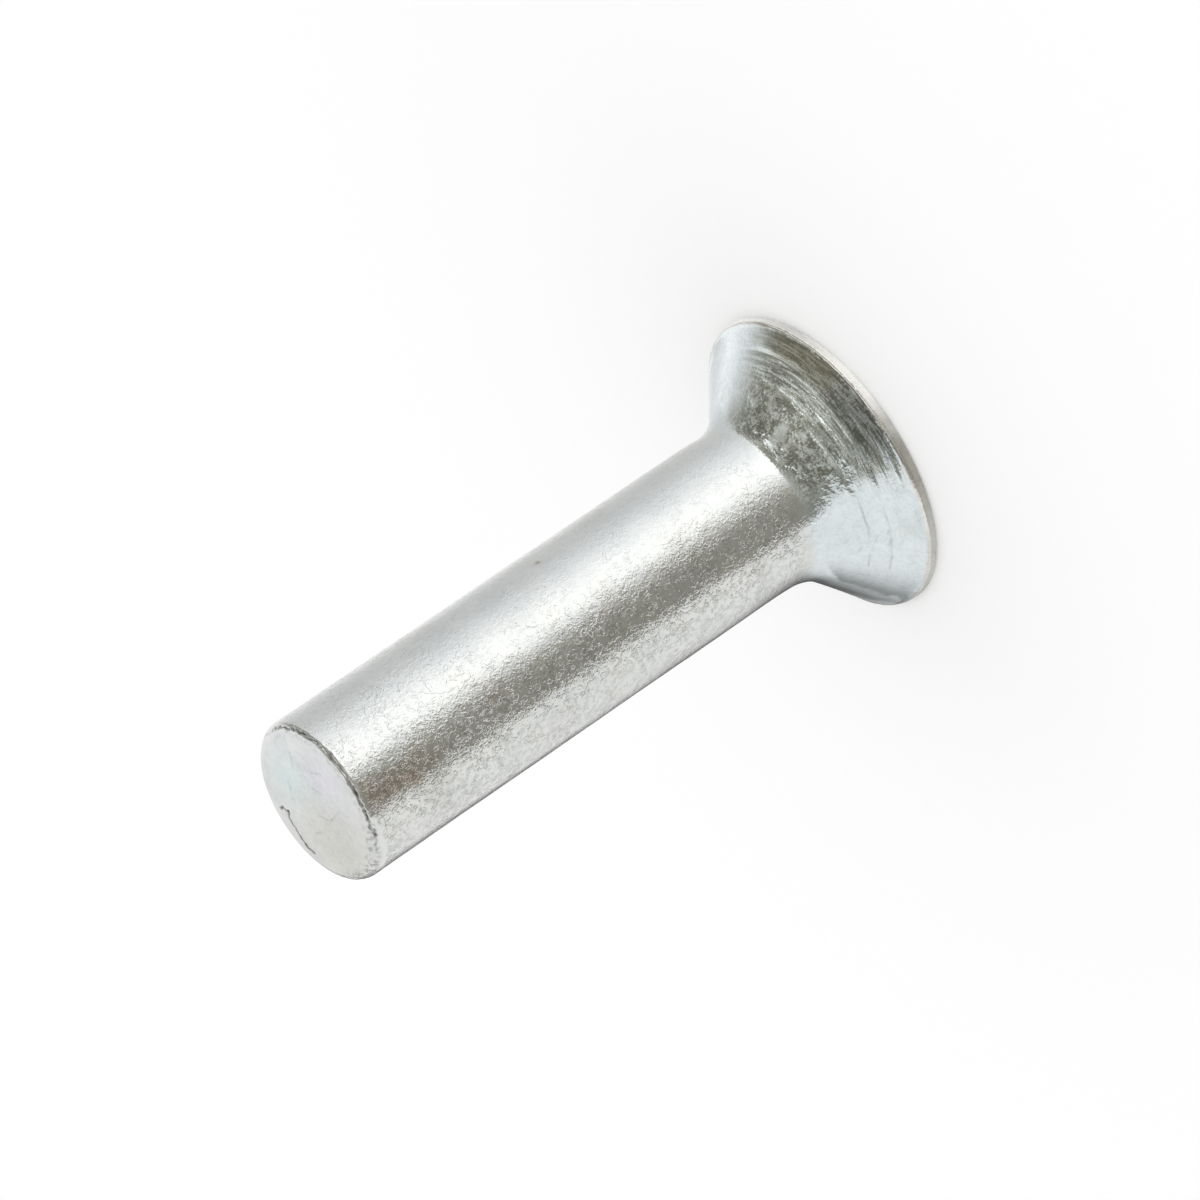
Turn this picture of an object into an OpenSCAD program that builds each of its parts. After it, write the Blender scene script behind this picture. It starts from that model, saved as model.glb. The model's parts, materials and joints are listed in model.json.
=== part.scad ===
// Solid countersunk rivet, as made: one piece of cold-headed wire, sheared to length.
// The rivet stands on the flat face of its head. The origin is the centre of that face,
// and +Z runs along the axis to the sheared end of the shank. Sizes are in millimetres.

/* [Shank] */
// Diameter of the shank
shank_d = 6.0; // [3:0.1:10]
// Length over everything, measured on the axis
rivet_len = 22.75; // [14:0.05:60]

/* [Head] */
// Diameter of the head over its rim
head_d = 11.35; // [8.5:0.05:20]
// Full angle of the countersunk cone, in degrees
cone_angle = 94; // [75:1:110]
// Height of the plain band round the rim
rim_band_h = 0.35; // [0.25:0.01:1.5]
// Rounding between the rim band and the cone
rim_top_r = 0.15; // [0.05:0.01:0.4]
// Rounding between the rim band and the flat face
rim_face_r = 0.15; // [0.05:0.01:0.25]
// Hollow radius where the cone runs into the shank
neck_r = 2.3; // [0.2:0.1:3]

/* [Sheared end] */
// Lean of the sheared face away from square, in degrees
shear_lean = 5.5; // [0:0.5:6.5]
// Radius of the edge that the shear rolls over
shear_edge_r = 0.45; // [0.3:0.05:0.8]

/* [Hidden] */
$fn = 96;

shank_r = shank_d / 2;
head_r = head_d / 2;
// Height at which the cone, drawn straight on, would meet the shank
cone_top_z = rim_band_h + (head_r - shank_r) / tan(cone_angle / 2);
// The neck may take up most of the cone's slant, and no more
cone_slant = (head_r - shank_r) / sin(cone_angle / 2);
neck_fit_r = min(neck_r, 0.8 * cone_slant / tan(cone_angle / 4));
// An arc stands this far past its tangent points, so that it crosses the lines it blends
arc_overrun = 0.0005;
// How far the rolled edge stands outside the shank, whose section is an ellipse where it leans
roll_overrun = 0.006 + shank_r * (1 / cos(shear_lean) - 1);
// The shank is left this much too long before it is sheared
shear_stock = shank_r * tan(shear_lean) + 2 * shear_edge_r;

// Corners of the half section, from the middle of the flat face to the uncut end
outline = [
    [0, 0],
    [head_r, 0],
    [head_r, rim_band_h],
    [shank_r, cone_top_z],
    [shank_r, rivet_len + shear_stock],
    [0, rivet_len + shear_stock]
];

function unit(v) = v / norm(v);

// Centre of the arc of radius r that touches both sides of the corner at v
function arc_centre(p, v, q, r) =
    let (a = unit(p - v), b = unit(q - v), half_turn = acos(a * b) / 2)
    v + unit(a + b) * r / sin(half_turn);

// Foot of the arc's centre on the side that runs from v towards p
function arc_foot(centre, v, p) = v + unit(p - v) * ((centre - v) * unit(p - v));

// What lies between the corner at v and its arc: taken off an outer corner, added to an inner one.
// An inner corner is named from q back to p, so that its web turns the same way as the section.
module corner_web(p, v, q, r) {
    centre = arc_centre(p, v, q, r);
    // The web is drawn from the arc's centre to half as far again as its tangent points
    reach = 1.5;
    difference() {
        polygon([
            centre,
            centre + reach * (arc_foot(centre, v, p) - centre),
            centre + reach * (v - centre),
            centre + reach * (arc_foot(centre, v, q) - centre)
        ]);
        translate(centre) circle(r = r + arc_overrun);
    }
}

// Half section of the headed blank: flat face, rim band, cone, neck and shank
module blank_section() {
    difference() {
        union() {
            polygon(outline);
            corner_web(outline[4], outline[3], outline[2], neck_fit_r);
        }
        corner_web(outline[0], outline[1], outline[2], rim_face_r);
        corner_web(outline[1], outline[2], outline[3], rim_top_r);
    }
}

// Half section of the shear's tool, above the plane through the centre of the rolled edge
module shear_section() {
    roll_rim = shank_r + roll_overrun;
    top_corner = [roll_rim, shear_edge_r];
    difference() {
        square([head_d, 2 * (shear_stock + shear_edge_r)]);
        difference() {
            translate([-shank_r, -shank_r]) square([shank_r, shank_r] + top_corner);
            corner_web([roll_rim, -shank_r], top_corner, [0, shear_edge_r], shear_edge_r);
        }
    }
}

// Takes off the stock above the leaning face, and rolls the edge that is left
module shear_tool() {
    translate([0, 0, rivet_len - shear_edge_r / cos(shear_lean)])
        rotate([shear_lean, 0, 0])
        rotate_extrude() shear_section();
}

module rivet() {
    color([0.78, 0.78, 0.76])
    difference() {
        rotate_extrude() blank_section();
        shear_tool();
    }
}

rivet();
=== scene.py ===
"""Looks of a zinc-plated countersunk rivet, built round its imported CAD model."""

import json
import math
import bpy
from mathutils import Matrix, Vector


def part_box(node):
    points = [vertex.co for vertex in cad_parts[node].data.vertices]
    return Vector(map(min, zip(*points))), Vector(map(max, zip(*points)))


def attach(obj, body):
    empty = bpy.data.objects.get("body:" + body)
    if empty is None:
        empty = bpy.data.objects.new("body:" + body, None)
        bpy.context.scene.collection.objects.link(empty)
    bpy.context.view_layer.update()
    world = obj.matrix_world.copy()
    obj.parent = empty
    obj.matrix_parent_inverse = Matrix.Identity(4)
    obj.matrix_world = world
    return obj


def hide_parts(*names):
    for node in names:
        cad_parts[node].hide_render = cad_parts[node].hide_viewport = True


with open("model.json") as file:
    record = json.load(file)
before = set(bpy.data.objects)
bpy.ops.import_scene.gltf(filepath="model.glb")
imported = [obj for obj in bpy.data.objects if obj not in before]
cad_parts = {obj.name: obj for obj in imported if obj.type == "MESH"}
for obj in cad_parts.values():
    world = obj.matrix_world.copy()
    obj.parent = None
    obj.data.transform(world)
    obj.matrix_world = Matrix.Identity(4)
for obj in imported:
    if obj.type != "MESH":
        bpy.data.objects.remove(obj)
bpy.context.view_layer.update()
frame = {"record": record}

from types import SimpleNamespace

import bpy
import numpy as np
from bpy.props import FloatProperty, FloatVectorProperty, IntProperty, PointerProperty
from mathutils import Matrix, Vector

bl_info = {
    "name": "Countersunk rivet",
    "version": (1, 0, 0),
    "blender": (4, 5, 0),
    "location": "View3D > Sidebar > Rivet",
    "description": "A cold-headed, zinc-plated solid rivet and the small studio that it stands in",
    "category": "Object",
}

MM = 0.001
# How far the sheared end rises for each unit along X and Y
LEAN_X, LEAN_Y = -0.0217, 0.0944


def mount(name):
    """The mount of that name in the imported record."""
    return next(m for m in frame["record"]["mounts"] if m["name"] == name)


SHANK_R = mount("shank")["dims"]["r_mm"] * MM
HEAD_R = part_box("rivet")[1].x


# Sizes and finish, as a user would change them


class RivetShape(bpy.types.PropertyGroup):
    """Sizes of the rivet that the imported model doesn't state, its forging marks, and how finely it is cut."""

    length: FloatProperty(name="Length", description="From the head's face to the middle of the sheared end",
                          default=22.74 * MM, unit="LENGTH")
    cone_angle: FloatProperty(name="Cone angle", description="Full angle of the countersunk cone",
                              default=math.radians(94), subtype="ANGLE")
    band: FloatProperty(name="Rim band", description="Height of the plain band round the head",
                        default=0.35 * MM, unit="LENGTH")
    rim_top: FloatProperty(name="Rim top", description="Rounding between the rim band and the cone",
                           default=0.15 * MM, unit="LENGTH")
    rim_face: FloatProperty(name="Rim foot", description="Rounding between the rim band and the flat face",
                            default=0.15 * MM, unit="LENGTH")
    neck: FloatProperty(name="Neck", description="Hollow radius between the cone and the shank",
                        default=2.30 * MM, unit="LENGTH")
    roll: FloatProperty(name="Rolled edge", description="Radius of the end's edge where the shear went in",
                        default=0.46 * MM, unit="LENGTH")
    burr: FloatProperty(name="Burr edge", description="Radius of the end's edge where the shear came out",
                        default=0.20 * MM, unit="LENGTH")
    lean_x: FloatProperty(name="Lean along X", description="Rise of the end's plane along X", default=LEAN_X)
    lean_y: FloatProperty(name="Lean along Y", description="Rise of the end's plane along Y", default=LEAN_Y)
    wave: FloatProperty(name="Wave", description="Depth of the soft unevenness of the shank and cone",
                        default=0.012 * MM, unit="LENGTH")
    rings: FloatProperty(name="Rings", description="Depth of the forging rings on the cone",
                         default=0.025 * MM, unit="LENGTH")
    crack: FloatProperty(name="Crack", description="Depth of the lap and of the burr line on the end",
                         default=0.050 * MM, unit="LENGTH")
    offset: FloatProperty(name="Offset", description="How far the shank stands off the axis, along X",
                          default=0.055 * MM, unit="LENGTH")
    seed: IntProperty(name="Seed", description="Picks the random marks", default=7)
    columns: IntProperty(name="Columns", description="Faces round the rivet", default=300)


class ZincFinish(bpy.types.PropertyGroup):
    """Colours of the plating and the depth of its grain."""

    shank: FloatVectorProperty(name="Shank", description="Clean plating on the shank", subtype="COLOR",
                               size=3, default=(0.69, 0.70, 0.68), min=0, max=1)
    cone: FloatVectorProperty(name="Cone", description="Clean plating on the head", subtype="COLOR",
                              size=3, default=(0.70, 0.755, 0.765), min=0, max=1)
    end: FloatVectorProperty(name="End", description="Clean plating on the sheared end", subtype="COLOR",
                             size=3, default=(0.67, 0.68, 0.67), min=0, max=1)
    land: FloatVectorProperty(name="Land", description="Clean plating on the head's rim", subtype="COLOR",
                              size=3, default=(0.70, 0.69, 0.65), min=0, max=1)
    olive: FloatVectorProperty(name="Olive film", description="Dull patches under the rim", subtype="COLOR",
                               size=3, default=(0.24, 0.225, 0.15), min=0, max=1)
    brown: FloatVectorProperty(name="Brown film", description="Dull patches on the shank", subtype="COLOR",
                               size=3, default=(0.37, 0.28, 0.21), min=0, max=1)
    # Dark colour laid along the cracks, the faint lines and the specks
    dirt: FloatVectorProperty(name="Dirt", description="What lies in the cracks", subtype="COLOR",
                              size=3, default=(0.13, 0.13, 0.115), min=0, max=1)
    roughness: FloatProperty(name="Roughness", description="How matt the plating is", default=0.13)
    grain: FloatProperty(name="Grain", description="Height of the crystals in the plating",
                         default=0.030 * MM, unit="LENGTH")


class Studio(bpy.types.PropertyGroup):
    """The camera and the light round the rivet."""

    elevation: FloatProperty(name="Elevation", description="Camera's height above the horizon",
                             default=math.radians(24.24), subtype="ANGLE")
    roll: FloatProperty(name="Roll", description="Turn of the camera about its line of sight",
                        default=math.radians(-124.22), subtype="ANGLE")
    distance: FloatProperty(name="Distance", description="From the camera to the point it looks at",
                            default=200.85 * MM, unit="LENGTH")
    lens: FloatProperty(name="Lens", description="Focal length in millimetres on a 36 mm sensor",
                        default=178.3)
    paper: FloatProperty(name="Paper", description="How pale the floor is", default=0.965)
    fill: FloatProperty(name="Fill", description="Strength of the even light", default=1.04)


# Random unevenness and soft edges, worked out on whole arrays


def smooth_step(low, high, value):
    """0 below low, 1 above high, and 3t^2 - 2t^3 between, where t runs from 0 to 1."""
    t = np.clip((value - low) / (high - low), 0, 1)
    return t * t * (3 - 2 * t)


def between(rise, full, fading, gone, value):
    """1 from full to fading, 0 below rise and above gone, with a smooth step on either side."""
    return smooth_step(rise, full, value) * smooth_step(gone, fading, value)


def bell(value, middle, half, power=2):
    """1 at the middle, falling as exp(-d^power), where d is the distance from it over half the width."""
    return np.exp(-((value - middle) / half) ** power)


def spot(x, y, centre_x, centre_y, radius):
    """A soft round patch: 1 in its middle, falling as exp(-d^2 / radius^2)."""
    return np.exp(-((x - centre_x) ** 2 + (y - centre_y) ** 2) / radius ** 2)


def from_start(compass, start):
    """The same compass angle in degrees, in the full turn that begins at start."""
    return (compass - start) % 360 + start


LATTICE = 64


def noise(seed, *axes):
    """Smooth random values from -1 to 1: one on each point of a lattice, blended over each of its cells."""
    table = np.random.default_rng(seed).uniform(-1, 1, (LATTICE,) * 3)
    place = np.broadcast_arrays(*axes)
    cell = [np.floor(axis).astype(int) for axis in place]
    part = [smooth_step(0, 1, axis - corner) for axis, corner in zip(place, cell)]
    total = 0
    for step in np.ndindex(2, 2, 2):
        weight = np.prod([t if up else 1 - t for t, up in zip(part, step)], axis=0)
        total = total + weight * table[tuple((corner + up) % LATTICE for corner, up in zip(cell, step))]
    return total


def along_line(x, y, points):
    """Distance to a line through points, and how far along it (0 to 1) the nearest place lies."""
    points = np.array(points) * MM
    near, place = np.full(x.shape, 1.0), np.zeros(x.shape)
    for k, (a, b) in enumerate(zip(points[:-1], points[1:])):
        d = b - a
        t = np.clip(((x - a[0]) * d[0] + (y - a[1]) * d[1]) / (d @ d), 0, 1)
        gap = np.hypot(x - a[0] - t * d[0], y - a[1] - t * d[1])
        place = np.where(gap < near, (k + t) / (len(points) - 1), place)
        near = np.minimum(near, gap)
    return near, place


# Half section of the rivet


def corner_arc(before, corner, after, radius):
    """Centre of the arc of that radius which touches both sides of a corner, and its two tangent points."""
    a, b = (before - corner), (after - corner)
    a, b = a / np.linalg.norm(a), b / np.linalg.norm(b)
    half = math.acos(float(a @ b)) / 2
    reach = radius / math.tan(half)
    centre = corner + (a + b) / np.linalg.norm(a + b) * radius / math.sin(half)
    return centre, corner + a * reach, corner + b * reach


def stretch(start, end, rows, crowd=1.0):
    """Points on the line from start towards end, without the last; crowd above 1 gathers them at start."""
    t = np.linspace(0, 1, rows, endpoint=False)[:, None] ** crowd
    return start + (end - start) * t


def turn(centre, start, end, rows):
    """Points on the shorter arc about centre from start towards end, the last one left out."""
    from_angle = math.atan2(*(start - centre)[::-1])
    sweep = (math.atan2(*(end - centre)[::-1]) - from_angle + math.pi) % (2 * math.pi) - math.pi
    angle = from_angle + sweep * np.linspace(0, 1, rows, endpoint=False)
    radius = np.linalg.norm(start - centre)
    return centre + radius * np.stack([np.cos(angle), np.sin(angle)], 1)


# Parts of the half section in order, and the rows of points that each gets
FACE, RIM_FOOT, BAND, RIM_TOP, CONE, NECK, SHANK, EDGE, END = range(9)
ROWS = (12, 4, 4, 5, 58, 30, 142, 18, 50)
# How closely the rows of the end crowd towards its edge
END_CROWD = 1.35


def half_section(shape, roll):
    """The outline from the flat face to the end: straight lines joined by tangent arcs.

    The two points on the axis are left out, because a pole closes the mesh there."""
    cone_top = shape.band + (HEAD_R - SHANK_R) / math.tan(shape.cone_angle / 2)
    corners = np.array([[0, 0], [HEAD_R, 0], [HEAD_R, shape.band], [SHANK_R, cone_top],
                        [SHANK_R, shape.length], [0, shape.length]])
    radii = [shape.rim_face, shape.rim_top, shape.neck, roll]
    parts, here = [], corners[0]
    for i, radius in enumerate(radii):
        centre, start, end = corner_arc(corners[i], corners[i + 1], corners[i + 2], radius)
        parts += [stretch(here, start, ROWS[2 * i]), turn(centre, start, end, ROWS[2 * i + 1])]
        here = end
    parts += [stretch(here, corners[-1], ROWS[END], END_CROWD), corners[-1:]]
    return np.concatenate(parts)[1:-1]


# Marks in the skin. Places are in mm, and compass angles in degrees from +X


# Heights and depths of the marks
CONE_HOLLOW = 0.025 * MM
TOOTH = 0.017 * MM
SCORE = 0.034 * MM
STRIPE = 0.020 * MM
RIM_STEP = 0.014 * MM
FACE_DISH = 0.020 * MM
FACE_RING = 0.004 * MM
END_WAVE = 0.020 * MM
LIP = 0.012 * MM
CRUMB = 0.038 * MM
# How far a fine noise pushes the lines on the end about
PUSH = 0.060 * MM

# Score lines turned on the cone: radius, compass angle of the middle, half the angle that they run
SCORES = ((4.78, -72, 26), (4.55, -80, 18), (5.18, -88, 14), (4.28, -66, 22), (4.98, -40, 14),
          (4.08, -88, 16))
# Radii of the two faint lines on the cone's clean side
FAINT_LINES = (4.16, 4.70)
# Dark specks beside them: radius, compass angle, strength
SPECKS = ((4.33, -138.5, 1.0), (4.70, -139.3, 1.0), (3.91, -145.0, 0.9), (4.97, -140.0, 0.7),
          (4.68, -134.0, 0.9), (3.60, -139.0, 0.5), (4.70, -150.0, 0.8))
# The folded lap and the hairlines on the sheared end: x and y of their points
LAP = ((-1.34, 1.98), (-1.12, 2.10), (-0.90, 2.16), (-0.40, 2.17), (0.08, 2.15),
       (0.22, 2.00), (0.34, 1.90), (0.43, 2.02), (0.52, 2.08), (0.55, 2.25))
HAIRS = (((-0.4, 0.15), (-0.6, -0.15), (-0.75, -0.55), (-0.65, -0.75), (-0.65, -1.25)),
         ((0.7, -0.45), (0.4, -0.6), (0.1, -0.8), (-0.15, -0.9)),
         ((1.1, -0.85), (0.9, -1.2), (0.7, -1.6)),
         ((1.1, 0.7), (0.85, 0.85), (0.6, 1.05), (0.45, 1.1)),
         ((2.4, -0.85), (2.1, -0.75), (1.6, -0.35), (1.35, -0.15)),
         ((-0.8, 1.0), (-0.9, 0.55)),
         ((-1.1, 0.4), (-1.2, 0.4)))


class Skin:
    """The rivet's skin before its marks: the half section carried round the axis, as rows of points.

    Round the end, the radius of the edge changes from the rolled one to the burr one and back. The places mx,
    my, mz and mr are the points and their distance from the axis in mm."""

    def __init__(self, shape):
        angle = np.arange(shape.columns) / shape.columns * 2 * math.pi
        self.seed = shape.seed
        self.cos, self.sin = np.cos(angle), np.sin(angle)
        self.compass = np.degrees(np.arctan2(self.sin, self.cos))
        self.part = np.repeat(np.arange(len(ROWS)), ROWS)[1:][:, None]
        rolled = np.clip(1 - bell(self.compass, -75, 62, 6) + 0.15 * self.by_angle(0, 5), 0, 1)
        round_edge, tight_edge = half_section(shape, shape.roll), half_section(shape, shape.burr)
        self.outline = tight_edge[:, None] + (round_edge - tight_edge)[:, None] * rolled[:, None]
        along = np.gradient(self.outline, axis=0)
        along = along / np.linalg.norm(along, axis=-1, keepdims=True)
        self.out = np.stack([along[..., 1], -along[..., 0]], -1)
        self.radius, self.height = self.outline[..., 0], self.outline[..., 1]
        self.x, self.y = self.radius * self.cos, self.radius * self.sin
        self.mx, self.my, self.mz, self.mr = (a / MM for a in (self.x, self.y, self.height, self.radius))

    def lumps(self, number, wide, tall=None):
        """Random values with cells that wide, and that tall if it differs; the number picks the pattern."""
        return noise(self.seed + number, self.mx / wide, self.my / wide, self.mz / (tall or wide))

    def by_angle(self, number, fineness):
        """Random values that change only with the compass angle."""
        return noise(self.seed + number, 0 * self.cos, self.cos * fineness, self.sin * fineness)

    def in_rings(self, number, wide, fineness):
        """Random values drawn out along rings that are that wide."""
        return noise(self.seed + number, self.mr / wide, self.cos * fineness, self.sin * fineness)


def cone_marks(skin, shape):
    """Height of the waves, rings, teeth and score lines on the head, and how much of each mark shows."""
    mr, part, compass = skin.mr, skin.part, skin.compass
    head = (part >= RIM_TOP) & (part <= NECK)
    on_cone = between(3.3, 3.9, 5.45, 5.62, mr) * head
    calm = bell(from_start(compass, 0), 176, 34, 4)
    lift = on_cone * (1 - 0.75 * calm) * shape.wave * (0.8 * skin.lumps(3, 1.4) + 0.2 * skin.lumps(4, 0.5))
    lift = lift - CONE_HOLLOW * between(3.4, 4.4, 4.8, 5.6, mr) * head

    front = 0.08 * (1 - calm) + 0.92 * bell(compass, -74, 52, 6)
    ringed = on_cone * front * (0.15 + 0.85 * smooth_step(4.1, 4.6, mr)) * smooth_step(5.55, 5.35, mr)
    turned = skin.in_rings(5, 0.095, 2.5) * (0.65 + 0.5 * skin.in_rings(6, 0.4, 4))
    lift = lift + ringed * shape.rings * turned
    teeth = bell(compass, -107, 15, 4) * on_cone * between(3.6, 4.0, 5.35, 5.55, mr)
    lift = lift + teeth * TOOTH * skin.in_rings(28, 0.2, 3)

    wobble = 0.04 * skin.by_angle(26, 3)
    score = head * sum(bell(mr, r + wobble, 0.08) * bell(compass, middle, half, 4)
                       for r, middle, half in SCORES)
    stripe = bell(compass, -62.5, 3.8, 4) * between(3.14, 3.26, 3.60, 3.90, mr) * head
    lift = lift - SCORE * score - STRIPE * stripe

    bend, clean_side = 0.02 * skin.by_angle(23, 9), from_start(compass, -360)
    lines = head * sum(bell(mr, r + bend, 0.024) for r in FAINT_LINES)
    lines = lines * between(-176, -148, -124, -112, clean_side)
    broken = smooth_step(-0.5, 0.5, noise(skin.seed + 25, skin.cos * 12, skin.sin * 12, mr / 0.5))
    across = mr * np.radians(clean_side)
    specks = head * sum(size * spot(mr, across, r, r * math.radians(at), 0.065) for r, at, size in SPECKS)
    return lift, SimpleNamespace(calm=calm, ringed=ringed, score=score, stripe=stripe,
                                 crease=0.42 * lines * broken + 0.34 * specks)


def rim_lift(skin, shape):
    """Height of the step between the cone and the rim band, of the band's waves, and of the face's dish."""
    mr, part = skin.mr, skin.part
    border = 5.60 + 0.04 * skin.by_angle(15, 7) + 0.03 * skin.by_angle(29, 26)
    step = between(border - 0.5, border - 0.15, border - 0.04, border, mr)
    step = step * ((part == CONE) | (part == RIM_TOP))
    band = ((part == BAND) | (part == RIM_TOP)) * (skin.lumps(7, 0.8, 0.3) - 1)
    face_rings = FACE_RING * (1 + np.sin(mr * 5.5)) * smooth_step(5.5, 5.0, mr)
    face = FACE_DISH * smooth_step(5.2, 2.0, mr) + face_rings
    return shape.wave * band - RIM_STEP * step - (part == FACE) * face


def end_marks(skin, shape):
    """Height of the lap, hairlines, burr line and crumbly edge of the sheared end, and how much they show.

    The lap and the hairlines are lines through points, which a fine noise pushes about. The burr line follows
    the edge at a distance that wanders. The way along the skin from the edge's middle is past_edge."""
    part = skin.part
    on_end = (part == END) * smooth_step(2.95, 2.6, skin.mr)
    pushed_x = skin.x + PUSH * skin.lumps(16, 0.13, math.inf)
    pushed_y = skin.y + PUSH * skin.lumps(17, 0.13, math.inf)
    gap, place = along_line(pushed_x, pushed_y, LAP)
    lap = smooth_step(0.085, 0.015, gap / MM / (0.60 + 0.45 * smooth_step(0.45, 0.65, place))) * on_end
    hair = sum(smooth_step(0.055, 0.0, along_line(pushed_x, pushed_y, line)[0] / MM) for line in HAIRS)
    hair = hair * on_end * smooth_step(-1.0, 0.2, skin.lumps(18, 0.4, math.inf))

    steps = np.diff(skin.outline, axis=0, prepend=skin.outline[:1])
    reach = np.cumsum(np.linalg.norm(steps, axis=-1), axis=0) / MM
    past_edge = reach - reach[np.argmax(part == EDGE) + ROWS[EDGE] // 2]
    near_end = skin.mz > 20
    burr_side = bell(skin.compass, -68, 74, 8)
    wander = 0.09 * (0.7 * skin.by_angle(8, 2.5) + 0.3 * skin.by_angle(9, 11)) + 0.05 * skin.by_angle(14, 30)
    offset = past_edge + 0.02 - wander
    width = 0.065 + 0.05 * skin.by_angle(10, 12)
    seam = smooth_step(1.0, 0.25, np.abs(offset) / width) * burr_side * (part >= SHANK)
    lip = bell(offset, -0.15, 0.06) * burr_side * (0.6 + 0.6 * skin.lumps(11, 0.25)) * near_end
    far_side = bell(from_start(skin.compass, -350), -170, 38, 4)
    crumbly = bell(past_edge, 0.10, 0.28, 4) * (0.45 * burr_side + far_side) * near_end
    crumbs = 0.5 * crumbly * smooth_step(0.0, 0.6, skin.lumps(19, 0.09))

    lift = LIP * lip - shape.crack * (lap + 0.8 * seam + 0.08 * hair)
    lift = lift + CRUMB * crumbly * skin.lumps(12, 0.14) + END_WAVE * on_end * skin.lumps(13, 1.3, math.inf)
    torn = seam * np.clip(0.62 + 0.55 * skin.lumps(24, 0.12), 0, 1)
    return lift, SimpleNamespace(crumbly=crumbly, crease=lap + torn + 0.34 * hair + crumbs)


def skin_looks(skin, cone, end):
    """How much of each finish shows at each point: dark colour in the cracks, grain, rings, dullness, mottles
    with painted shade, and flecks.
    """
    mz, part, compass = skin.mz, skin.part, skin.compass
    near_head, past_neck = smooth_step(3.6, 2.9, mz), smooth_step(2.9, 4.2, mz)
    dark_side = bell(compass, -69, 37, 6)
    shank_grit = past_neck * (part >= NECK) * (part <= SHANK) * (0.62 + 0.38 * bell(compass, -116, 33, 6))
    cone_grit = near_head * (part >= CONE) * (0.16 - 0.10 * cone.calm + 0.35 * dark_side)
    other_grit = 0.06 * (part == END) + 0.5 * ((part == BAND) | (part == RIM_TOP)) + 0.4 * (part == FACE)
    ragged = 1 + 0.4 * noise(skin.seed + 27, skin.mx / 0.09, skin.my / 0.3, mz / 0.3)
    worn = (1 - 0.75 * cone.stripe) * (1 - 0.7 * np.clip(cone.score, 0, 1))
    fleck_side = 0.25 + 0.75 * bell(compass, -124, 38, 6)
    return {
        "crease": np.clip(cone.crease + end.crease, 0, 1),
        "grit": shank_grit * (1 + 0.35 * smooth_step(14, 20, mz)) + cone_grit + other_grit + end.crumbly,
        "rings": cone.ringed,
        "matt": 0.35 * smooth_step(5.58, 5.64, skin.mr) + 0.5 * end.crumbly + 1.2 * cone.stripe * ragged,
        # The mottles, and the painted shade that they carry, lie almost only on the cone's side that reflects
        # the dark wall
        "mottle_and_shade": smooth_step(3.3, 2.85, mz) * (part >= CONE) * (0.06 + 0.94 * dark_side) * worn,
        "marks": fleck_side * past_neck * (part <= SHANK) + 0.3 * (part == END) + 0.35 * near_head,
    }


def rivet_surface(shape):
    """Points of the skin, row by row, and how each place looks.

    Each point starts on the smooth skin and moves straight out of it by a height in which waves, rings,
    cracks and dents add up. The shank then moves aside by the offset, and its height gains
    lean_x x + lean_y y, which fades in from the neck."""
    skin = Skin(shape)
    on_shank = smooth_step(3.2, 4.2, skin.mz) * ((skin.part == SHANK) | (skin.part == NECK))
    shank_lift = on_shank * shape.wave * (0.75 * skin.lumps(1, 1.6, 2.6) + 0.25 * skin.lumps(2, 0.5, 0.6))
    cone_lift, cone = cone_marks(skin, shape)
    end_lift, end = end_marks(skin, shape)
    lift = shank_lift + cone_lift + rim_lift(skin, shape) + end_lift

    radius, z = skin.radius + lift * skin.out[..., 0], skin.height + lift * skin.out[..., 1]
    x, y = radius * skin.cos + shape.offset * smooth_step(3, 4.5, skin.mz), radius * skin.sin
    up_shank = np.clip((skin.height - 4 * MM) / (shape.length - 5 * MM), 0, 1)
    z = z + up_shank * (shape.lean_x * x + shape.lean_y * y)
    return x, y, z, skin_looks(skin, cone, end)


# Colours that lie on the skin, and painted light and shade


# Tinted patches on the sheared end: x, y and radius in mm, and the change of colour
END_TINTS = ((1.3, 0.5, 0.9, (-0.05, 0.02, 0.03)), (0.5, -1.5, 1.0, (0.0, -0.01, 0.04)),
             (-1.6, 0.3, 1.9, (-0.085, -0.095, -0.125)), (2.2, -0.6, 0.9, (0.02, 0.02, 0.03)))
# The reddish speck on the shank: compass angle, height and radius in mm
RED_SPECK = (-32.5, 11.9, 0.09)
# Length of one degree round the shank, in mm
DEGREE = 0.052


def tint(amount, colour):
    """That colour at every point, by that amount."""
    return amount[..., None] * np.array(colour)


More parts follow.
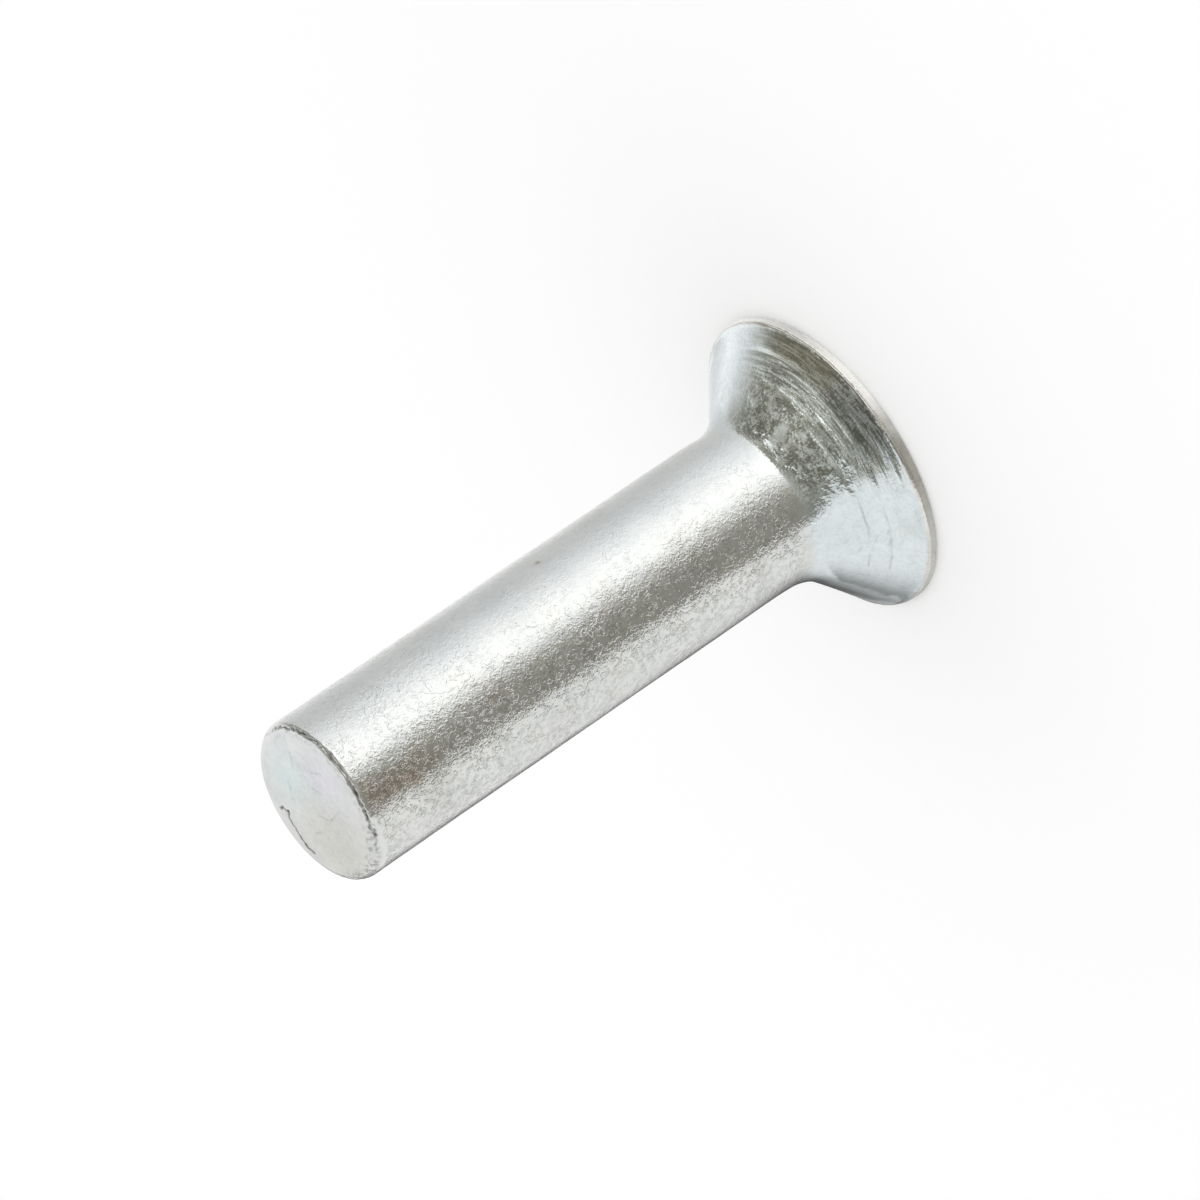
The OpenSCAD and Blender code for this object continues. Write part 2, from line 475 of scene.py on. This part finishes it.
def plating_with_painted_light(x, y, z, finish):
    """Plating at each point: the shank's colour, the head's below the neck, and tints on the end. Painted light
    and shade from the reflections lie over the cone and the rim land.
    """
    x, y, z = x / MM, y / MM, z / MM
    around, radius = np.degrees(np.arctan2(y, x)), np.hypot(x, y)
    head = smooth_step(3.5, 3.1, z)
    land = smooth_step(5.57, 5.62, radius + 0.04 * noise(34, x / 0.3, y / 0.3, z * 0))
    end = smooth_step(22.2, 22.5, z - LEAN_Y * y) * smooth_step(2.95, 2.7, radius)
    shank = (1 - head) * (1 - end)
    colour = tint(shank, finish.shank) + tint(head * (1 - land), finish.cone)
    colour = colour + tint(shank * bell(around, -40, 25, 4), (-0.012, 0.0, 0.02))

    # Painted light: the outer cone is made 10 % paler towards compass 0, where it reflects brighter light
    painted_light_outer = smooth_step(4.0, 5.0, radius) * bell(around, 0, 40, 4)
    # Painted shade: the outer cone is made much darker round compass -84, where it reflects the dark wall
    painted_dark_reflection = bell(around, -84, 16, 4) * between(4.6, 5.0, 5.5, 5.6, radius)
    # Painted light: the inner cone is made paler round compass -66, inside its dark reflection
    pale = bell(around, -66, 14, 4) * between(3.2, 3.5, 4.4, 4.9, radius)
    # Painted reflection: the head is made warmer round compass -62, where it reflects the warm dark wall
    painted_warm_reflection = bell(around, -62, 32, 4) * smooth_step(5.6, 5.5, radius) * head
    colour = colour * (1 + 0.10 * painted_light_outer - 0.46 * painted_dark_reflection + 0.20 * pale)[..., None]
    colour = colour * (1 + tint(painted_warm_reflection, (0.07, 0.05, 0.0)))

    dim = 0.88 + 0.12 * noise(31, x / 1.5, y / 1.5, z / 0.5)
    colour = colour + tint(end, finish.end) + tint(land * dim, finish.land)
    for centre_x, centre_y, size, change in END_TINTS:
        colour = colour + tint(end * spot(x, y, centre_x, centre_y, size), change)
    smear = 0.6 * noise(32, x / 0.5, y / 0.5, z / 0.5) + 0.4 * noise(33, x / 0.18, y / 0.18, z / 0.18)
    # Painted highlight: the top of the rim land is made 16 % paler
    rim_top = smooth_step(0.27, 0.36, z) * land
    return colour * ((1 + 0.16 * rim_top) * (1 + 0.06 * smear * end))[..., None]


def stained(x, y, z, seed):
    """How brown each point is: random patches, more of them under the rim and near the end, and one speck."""
    x, y, z = x / MM, y / MM, z / MM
    around, radius = np.degrees(np.arctan2(y, x)), np.hypot(x, y)
    patchy = noise(seed + 20, x / 1.1, y / 1.1, z / 1.1) + 0.5 * noise(seed + 21, x / 0.4, y / 0.4, z / 0.4)
    dull = smooth_step(0.15, 0.95, patchy) * (0.10 + 0.45 * bell(around, -103, 14, 4))
    rim = between(4.6, 5.2, 5.5, 5.62, radius) * (z > 0.3)
    rim_noise = 0.4 * noise(seed + 22, x / 0.9, y / 0.9, z / 0.9)
    rim_patch = rim * smooth_step(0.1, 0.9, rim_noise + 1.1 * bell(around, -54, 16))
    near_end = smooth_step(17, 21.5, z) * (radius > 2.9) * (z < 22.6) * bell(around, -104, 24, 4)
    end_patch = near_end * smooth_step(0.2, 1.0, patchy * 0.7 + bell(around, -102, 14))
    middle, height, size = RED_SPECK
    speck = spot(around * DEGREE, z, middle * DEGREE, height, size)
    off_end = z - LEAN_Y * y <= 22.45
    return np.clip(dull + 0.9 * rim_patch + 0.6 * end_patch + 1.4 * speck, 0, 1.4) * off_end


# Meshes


def grid_mesh(name, x, y, z, poles=()):
    """A mesh from rows of points that close round the axis, with a fan to each of the two poles, if given."""
    rows, columns = x.shape
    index = np.arange(rows * columns).reshape(rows, columns)
    following = np.roll(index, -1, axis=1)
    points = np.stack([x, y, z], -1).reshape(-1, 3).tolist() + list(poles)
    faces = np.stack([index[:-1], following[:-1], following[1:], index[1:]], -1).reshape(-1, 4).tolist()
    if poles:
        first_pole, last_pole = np.full(columns, rows * columns), np.full(columns, rows * columns + 1)
        faces += np.stack([following[0], index[0], first_pole], -1).tolist()
        faces += np.stack([index[-1], following[-1], last_pole], -1).tolist()
    mesh = bpy.data.meshes.new(name)
    mesh.from_pydata(points, [], faces)
    return mesh


def store(mesh, name, values):
    """Saves a number or a colour for each point. Poles, which come last, get their row's first value."""
    colours = values.ndim == 3
    flat = values.reshape(-1, 3) if colours else values.ravel()
    if len(flat) < len(mesh.vertices):
        flat = np.concatenate([flat, [values[0, 0], values[-1, 0]]])
    if colours:
        flat = np.concatenate([flat, np.ones((len(flat), 1))], 1)
    kind, field = ("FLOAT_COLOR", "color") if colours else ("FLOAT", "value")
    mesh.attributes.new(name, kind, "POINT").data.foreach_set(field, flat.ravel())


# Shader sums


class Value:
    """A socket in sums: each operator adds its Math node, with plain numbers on either side."""

    def __init__(self, nodes, socket):
        self.nodes, self.socket = nodes, socket

    def math(self, operation, *others):
        return self.nodes.add("ShaderNodeMath", {"operation": operation}, self, *others)

    def __add__(self, other):
        return self.math("ADD", other)

    def __sub__(self, other):
        return self.math("SUBTRACT", other)

    def __mul__(self, other):
        return self.math("MULTIPLY", other)

    def __rsub__(self, other):
        return self.nodes.add("ShaderNodeMath", {"operation": "SUBTRACT"}, other, self)

    __radd__, __rmul__ = __add__, __mul__


class Nodes:
    """Adds nodes to one material or world and links them."""

    def __init__(self, owner):
        owner.use_nodes = True
        self.tree = owner.node_tree
        self.tree.nodes.clear()

    def add(self, kind, settings=None, *values, out=0, **named):
        """A node of that type: its settings first, then its sockets' values or links, in order or by name."""
        node = self.tree.nodes.new(kind)
        for key, setting in (settings or {}).items():
            setattr(node, key, setting)
        pairs = list(enumerate(values)) + [(k.replace("_", " "), v) for k, v in named.items()]
        for key, value in pairs:
            socket = node.inputs[key]
            if isinstance(value, Value):
                self.tree.links.new(value.socket, socket)
            else:
                socket.default_value = value
        return Value(self, node.outputs[out]) if node.outputs else node

    def vector(self, operation, *values, out="Vector", **named):
        """Vector Math on those values."""
        return self.add("ShaderNodeVectorMath", {"operation": operation}, *values, out=out, **named)

    def stored(self, name, out="Fac"):
        """The number or the colour that the mesh holds under that name."""
        return self.add("ShaderNodeAttribute", {"attribute_name": name}, out=out)

    def grain(self, place, scale, detail, roughness=0.5, distortion=0.0, out=0):
        """Random clouds of about one over scale in size, with that many finer layers."""
        return self.add("ShaderNodeTexNoise", None, out=out, Vector=place, Scale=scale, Detail=detail,
                        Roughness=roughness, Distortion=distortion)

    def rise(self, value, low, high):
        """A smooth step from 0 at low to 1 at high."""
        settings = {"interpolation_type": "SMOOTHSTEP"}
        return self.add("ShaderNodeMapRange", settings, value, low, high, 0.0, 1.0)

    def mixed(self, kind, factor, first, second):
        """The first colour with the second laid over it by that factor."""
        settings = {"data_type": "RGBA", "blend_type": kind, "clamp_factor": True}
        return self.add("ShaderNodeMix", settings, out="Result", Factor=factor, A=first, B=second)


# Materials


def in_arcs(nodes, place, across, along):
    """The place stretched out along rings round the axis: fine across them, coarse along them."""
    flat = nodes.vector("MULTIPLY", place, (1, 1, 0))
    outward = nodes.vector("LENGTH", flat, out="Value")
    x, y = (nodes.add("ShaderNodeSeparateXYZ", None, flat, out=axis) for axis in (0, 1))
    return nodes.add("ShaderNodeCombineXYZ", None, outward * across, x * along, y * along)


def zinc(finish):
    """Zinc plating: fine crystals and flecks, brown film in patches, a dark colour in the cracks, mottles on
    the cone.

    The flecks are where a noise crosses its middle value. The mottles are clouds that turn into arcs of rings
    towards the rim. On the cone's side that reflects the dark wall they darken the colour, which is partly
    painted shade. The crazed lines are the borders of cells, in a place that another noise pushes about."""
    material = bpy.data.materials.new("zinc_plate")
    nodes = Nodes(material)
    place = nodes.vector("SCALE", nodes.add("ShaderNodeTexCoord", out="Object"), Scale=1 / MM)
    grit, crease, rings, stain, matt, mottle_and_shade, marks = (
        nodes.stored(name) for name in ("grit", "crease", "rings", "stain", "matt", "mottle_and_shade", "marks"))

    crystals = nodes.grain(place, 7.0, 1.0, distortion=0.5)
    fine, rough = nodes.grain(place, 12.0, 2.0), nodes.grain(place, 5.0, 3.0, roughness=0.6)
    broad = nodes.grain(place, 2.6, 1.0, distortion=0.5)
    patch = nodes.rise(nodes.grain(place, 0.9, 2.0), 0.36, 0.62)
    worm = nodes.rise((crystals - 0.5).math("ABSOLUTE"), 0.14, 0.02)
    fleck = worm * nodes.rise(nodes.grain(place, 4.5, 1.0), 0.42, 0.56) * (patch * 0.5 + 0.5)
    speckle = nodes.rise(nodes.grain(place, 3.6, 5.0, roughness=0.75, distortion=0.5), 0.50, 0.40)
    haze = nodes.rise(nodes.grain(place, 0.7, 3.0), 0.45, 0.62)
    pushed = nodes.vector("ADD", place, nodes.grain(place, 1.6, 3.0, out="Color"))
    crazed = nodes.add("ShaderNodeTexVoronoi", {"feature": "DISTANCE_TO_EDGE"}, out="Distance",
                       Vector=pushed, Scale=0.55)
    line = nodes.rise(crazed, 0.016, 0.004) * nodes.rise(nodes.grain(place, 0.8, 2.0), 0.50, 0.60)

    outward = nodes.vector("LENGTH", nodes.vector("MULTIPLY", place, (1, 1, 0)), out="Value")
    streak = nodes.grain(in_arcs(nodes, place, 6, 0.35), 1.0, 2.0)
    arcs = nodes.grain(in_arcs(nodes, place, 14, 1.1), 1.0, 3.0, roughness=0.6)
    lumps = nodes.grain(place, 2.8, 2.0, roughness=0.55)
    cloud = nodes.grain(place, 2.5, 5.0, roughness=0.80, distortion=0.3)
    by_rim = nodes.rise(outward, 3.9, 4.7) * 0.60 + 0.15
    pattern = cloud + (arcs - cloud) * by_rim + (fine - 0.5) * 0.35
    dull, dark_mottle_and_shade = nodes.rise(pattern, 0.50, 0.60), nodes.rise(pattern, 0.57, 0.45)

    # The tint carries the plating's colour and the painted light and shade of the cone and the rim land
    colour = nodes.stored("tint", out="Color")
    darker = ((fleck * marks * 0.34, (0.45, 0.45, 0.42)), (speckle * marks * 0.36, (0.50, 0.495, 0.475)),
              # Mottles that are partly painted shade: they darken the colour almost only where the cone
              # reflects the dark wall
              (haze * 0.20, (0.80, 0.83, 0.86)), (dark_mottle_and_shade * mottle_and_shade * 0.92, (0.34, 0.333, 0.295)),
              (line * marks * 0.4, (0.5, 0.5, 0.48)))
    for amount, shade in darker:
        colour = nodes.mixed("MULTIPLY", amount, colour, (*shade, 1))
    colour = nodes.mixed("MIX", stain * (0.35 + fine * 0.7), colour, nodes.stored("film", out="Color"))
    # The dark colour lies along the cracks, the faint lines and the specks
    colour = nodes.mixed("MIX", crease, colour, (*finish.dirt, 1))

    roughness = finish.roughness + crease * 0.35 + stain * 0.08 + matt * 0.3 + dull * mottle_and_shade * 0.10
    roughness = roughness + (fine - 0.5) * grit * 0.10
    height = (fine * 0.36 + fleck * 0.34 + rough * 0.40 + broad * 0.15 - line * 0.2) * grit
    height = height + (lumps * 3.6 * (1 - by_rim) + cloud * 0.4) * mottle_and_shade
    height = height + (streak * 1.3 + arcs * mottle_and_shade * 1.6) * rings
    bump = nodes.add("ShaderNodeBump", None, Strength=1.0, Distance=finish.grain, Height=height)
    shader = nodes.add("ShaderNodeBsdfPrincipled", None, Base_Color=colour, Metallic=1.0, Roughness=roughness,
                       Normal=bump)
    nodes.add("ShaderNodeOutputMaterial", None, shader)
    return material


def paper(tone):
    """Matt paper of that grey tone."""
    material = bpy.data.materials.new("floor_paper")
    nodes = Nodes(material)
    matt = nodes.add("ShaderNodeBsdfDiffuse", None, (tone, tone, tone, 1))
    nodes.add("ShaderNodeOutputMaterial", None, matt)
    return material


def tent_cloth():
    """Cloth that glows with the colour that its mesh holds."""
    material = bpy.data.materials.new("tent_cloth")
    material.cycles.emission_sampling = "NONE"
    nodes = Nodes(material)
    glow = nodes.add("ShaderNodeEmission", None, nodes.stored("glow", out="Color"), 1.0)
    nodes.add("ShaderNodeOutputMaterial", None, glow)
    return material


# Light round the rivet


TENT_R = 150 * MM
# Columns of the tent, and the rings of its skirt on the floor and of its dome
TENT_COLUMNS, SKIRT_RINGS, DOME_RINGS = 720, 44, 130
# The skirt starts just inside the rim, and lies just above the floor
SKIRT_START, SKIRT_GAP = 5.57 * MM, 0.004 * MM
# Stops of the tent's brightness: compass angle in degrees from +X, and how bright it is there. The low tent is
# the skirt and the lowest part of the dome, and the rim tent is the strip of the skirt close to the rim
LOW_TENT = ((-142.5, 0.35), (-120, 0.34), (-108, 0.36), (-98, 0.45), (-90, 0.66), (-80, 1.07), (-70, 1.44),
            (-60, 1.56), (-48, 1.46), (-38, 1.31), (-28, 1.18), (-15, 1.01), (0, 0.83), (15, 0.76),
            (35, 0.75), (50, 0.86), (65, 1.02), (82, 1.06), (93, 0.60), (101, 0.36), (108, 0.28),
            (114, 0.40), (120, 0.68), (126, 0.88), (132, 1.05), (142, 1.00), (155, 1.03), (180, 1.05),
            (200, 1.05), (217.5, 1.03))
RIM_TENT = ((-180, 0.50), (-160, 0.82), (-140, 0.82), (-120, 0.62), (-100, 0.55), (-90, 0.92), (-80, 1.50),
            (-60, 1.38), (-40, 0.95), (-20, 1.22), (10, 1.25), (60, 1.0), (100, 0.36), (150, 0.28),
            (170, 0.36), (180, 0.50))
# The dome's dark wall lies in this direction
DARK_WALL = np.array([0.600, -0.800, -0.010])
# How much less red, green and blue the dim parts of the cloth give
WARMTH = (0.0, 0.035, 0.14)


def low_glow(compass, stops=LOW_TENT):
    """Brightness by the compass angle: straight lines between the stops."""
    angle, level = np.array(stops).T
    return np.interp(from_start(compass, angle[0]), angle, level)


def skirt_glow(compass, out):
    """Brightness of the skirt, with out the distance from the axis in mm.

    It is the low stops' brightness with three soft shadows and a bright and a dim patch. From 6.9 mm inwards
    it changes to the rim strip's brightness, which has one bright stretch at its foot."""
    shadow = 0.62 * bell(compass, 114, 22) * smooth_step(36, 18, out)
    shadow = shadow + 0.55 * bell(compass, 138, 22) * between(6.2, 7.2, 8, 17, out)
    shadow = shadow + 0.50 * bell(compass, 110, 11) * smooth_step(24, 36, out)
    patches = 1 + 0.20 * bell(compass, 68, 15) * smooth_step(9.5, 7.5, out)
    patches = patches - 0.14 * bell(compass, 72, 16) * between(8.5, 10, 14, 20, out)
    open_floor = low_glow(compass) * patches * (1 - np.clip(shadow, 0, 0.84))
    strip = low_glow(compass, RIM_TENT) + 0.5 * bell(compass, -105, 22, 4) * smooth_step(6.0, 5.75, out)
    return open_floor + (strip - open_floor) * smooth_step(6.9, 6.3, out)


def high_glow(direction):
    """Brightness of the dome: a white wall, a dark one facing it, and the skirt's light up to a sloping edge.

    With h the distance past the dark wall's edge, that wall is 0.21 + 0.6 h. Its edge is sharp where x is
    below 0.1 and soft where x is above 0.5, and a soft patch brightens it there. A shadow lies low, towards a
    compass angle of 112 degrees."""
    x, y, z = np.moveaxis(direction, -1, 0)
    compass, climb = np.degrees(np.arctan2(y, x)), np.degrees(np.arcsin(np.clip(z, -1, 1)))
    past_edge = direction @ DARK_WALL
    sharp = np.where(past_edge < 0.04, 1.05, 0.21 + 0.60 * np.clip(past_edge, 0, 0.6))
    soft = 1.12 - 0.72 * smooth_step(-0.36, 0.24, past_edge)
    wall = sharp + (soft - sharp) * smooth_step(0.1, 0.5, x)
    wall = wall + 0.36 * spot(x, y, 0.50, -0.15, 0.2) * (z > 0)
    wall = wall * (1 - 0.86 * bell(compass, 112, 26) * smooth_step(34, -6, climb))
    low = smooth_step(0.012, -0.012, z - 0.10 + 0.17 * y) * (y < 0.3)
    return wall + (low_glow(compass) - wall) * low


def tent_surface():
    """A skirt on the floor from the rim outwards, and a dome over it: rings of points, and their colours."""
    compass = np.arange(TENT_COLUMNS) / TENT_COLUMNS * 360
    skirt = np.geomspace(SKIRT_START, TENT_R, SKIRT_RINGS)[:, None]
    climb = np.radians(89.5 * np.linspace(0, 1, DOME_RINGS) ** 1.4)[:, None]
    out = np.concatenate([skirt, TENT_R * np.cos(climb)])
    up = SKIRT_GAP + np.concatenate([np.zeros_like(skirt), TENT_R * np.sin(climb)])
    x, y = out * np.cos(np.radians(compass)), out * np.sin(np.radians(compass))
    z = up * np.ones_like(compass)
    direction = np.stack([x, y, z], -1)[SKIRT_RINGS:] / TENT_R
    glow = np.concatenate([skirt_glow(compass, skirt / MM), high_glow(direction)])
    away_from_shadow = np.abs(from_start(compass, 112 - 180) - 112) > 60
    warm = tint(smooth_step(0.9, 0.3, glow) * away_from_shadow, WARMTH)
    return x, y, z, glow[..., None] * (1 - warm)


# Operators


class RIVET_OT_body(bpy.types.Operator):
    """Makes the rivet's own surface and its plating, in place of the CAD node"""

    bl_idname = "rivet.body"
    bl_label = "Rivet"

    def execute(self, context):
        shape, finish = context.scene.rivet_shape, context.scene.zinc_finish
        x, y, z, looks = rivet_surface(shape)
        mesh = grid_mesh("rivet_plated", x, y, z, poles=((0, 0, z[0].mean()), (0, 0, z[-1].mean())))
        mesh.shade_smooth()
        mesh.validate()
        head = smooth_step(3.5 * MM, 3.1 * MM, z)
        looks["stain"] = stained(x, y, z, shape.seed)
        looks["film"] = tint(head, finish.olive) + tint(1 - head, finish.brown)
        # The tint holds the plating's colour with the painted light and shade of the cone and the rim land
        looks["tint"] = plating_with_painted_light(x, y, z, finish)
        for name, values in looks.items():
            store(mesh, name, values)
        mesh.materials.append(zinc(finish))
        piece = bpy.data.objects.new("rivet_plated", mesh)
        context.scene.collection.objects.link(piece)
        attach(piece, "root")
        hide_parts("rivet")
        return {"FINISHED"}


FLOOR_HALF = 1.5
SENSOR = 36
# The place that the camera looks at
AIM = Vector((0.3615 * MM, 0, 10.05 * MM))


def add_floor(scene, tone):
    """A square of paper under the rivet."""
    mesh = bpy.data.meshes.new("floor")
    corners = [(x * FLOOR_HALF, y * FLOOR_HALF, 0) for x, y in ((-1, -1), (1, -1), (1, 1), (-1, 1))]
    mesh.from_pydata(corners, [], [(0, 1, 2, 3)])
    mesh.materials.append(paper(tone))
    floor = bpy.data.objects.new("floor", mesh)
    scene.collection.objects.link(floor)


def add_tent(scene):
    """The tent, which shows only in the plating's reflections."""
    x, y, z, glow = tent_surface()
    mesh = grid_mesh("tent", x, y, z)
    store(mesh, "glow", glow)
    mesh.materials.append(tent_cloth())
    tent = bpy.data.objects.new("tent", mesh)
    scene.collection.objects.link(tent)
    tent.visible_camera = tent.visible_diffuse = tent.visible_shadow = tent.visible_transmission = False


def add_world(scene, strength):
    """Even white light from all round."""
    scene.world = bpy.data.worlds.new("tent")
    nodes = Nodes(scene.world)
    white = nodes.add("ShaderNodeBackground", None, (1, 1, 1, 1), strength)
    nodes.add("ShaderNodeOutputWorld", None, white)


def add_camera(scene, studio):
    """The camera in front of the rivet, above the floor, and rolled so that the rivet lies aslant."""
    data = bpy.data.cameras.new("camera")
    data.lens, data.sensor_width = studio.lens, SENSOR
    data.clip_start, data.clip_end = 0.01, 10
    camera = bpy.data.objects.new("camera", data)
    scene.collection.objects.link(camera)
    back = Vector((0, -math.cos(studio.elevation), math.sin(studio.elevation)))
    right = Vector((1, 0, 0))
    level = Matrix((right, back.cross(right), back)).transposed().to_4x4()
    place = Matrix.Translation(AIM + back * studio.distance)
    camera.matrix_world = place @ level @ Matrix.Rotation(studio.roll, 4, "Z")
    scene.camera = camera


class RIVET_OT_stage(bpy.types.Operator):
    """Makes the floor, the light and the camera"""

    bl_idname = "rivet.stage"
    bl_label = "Stage"

    def execute(self, context):
        scene, studio = context.scene, context.scene.rivet_studio
        add_floor(scene, studio.paper)
        add_tent(scene)
        add_world(scene, studio.fill)
        add_camera(scene, studio)
        scene.view_settings.view_transform = "Standard"
        return {"FINISHED"}


class RIVET_PT_panel(bpy.types.Panel):
    """Lists the rivet's pieces in the sidebar"""

    bl_idname = "RIVET_PT_panel"
    bl_label = "Rivet"
    bl_space_type = "VIEW_3D"
    bl_region_type = "UI"
    bl_category = "Rivet"

    def draw(self, context):
        for operator in (RIVET_OT_body, RIVET_OT_stage):
            self.layout.operator(operator.bl_idname)


CLASSES = (RivetShape, ZincFinish, Studio, RIVET_OT_body, RIVET_OT_stage, RIVET_PT_panel)


def register():
    for cls in CLASSES:
        bpy.utils.register_class(cls)
    bpy.types.Scene.rivet_shape = PointerProperty(type=RivetShape)
    bpy.types.Scene.zinc_finish = PointerProperty(type=ZincFinish)
    bpy.types.Scene.rivet_studio = PointerProperty(type=Studio)


def unregister():
    del bpy.types.Scene.rivet_studio, bpy.types.Scene.zinc_finish, bpy.types.Scene.rivet_shape
    for cls in reversed(CLASSES):
        bpy.utils.unregister_class(cls)


def main():
    register()
    bpy.ops.rivet.stage()
    bpy.ops.rivet.body()


if __name__ == "__main__":
    main()
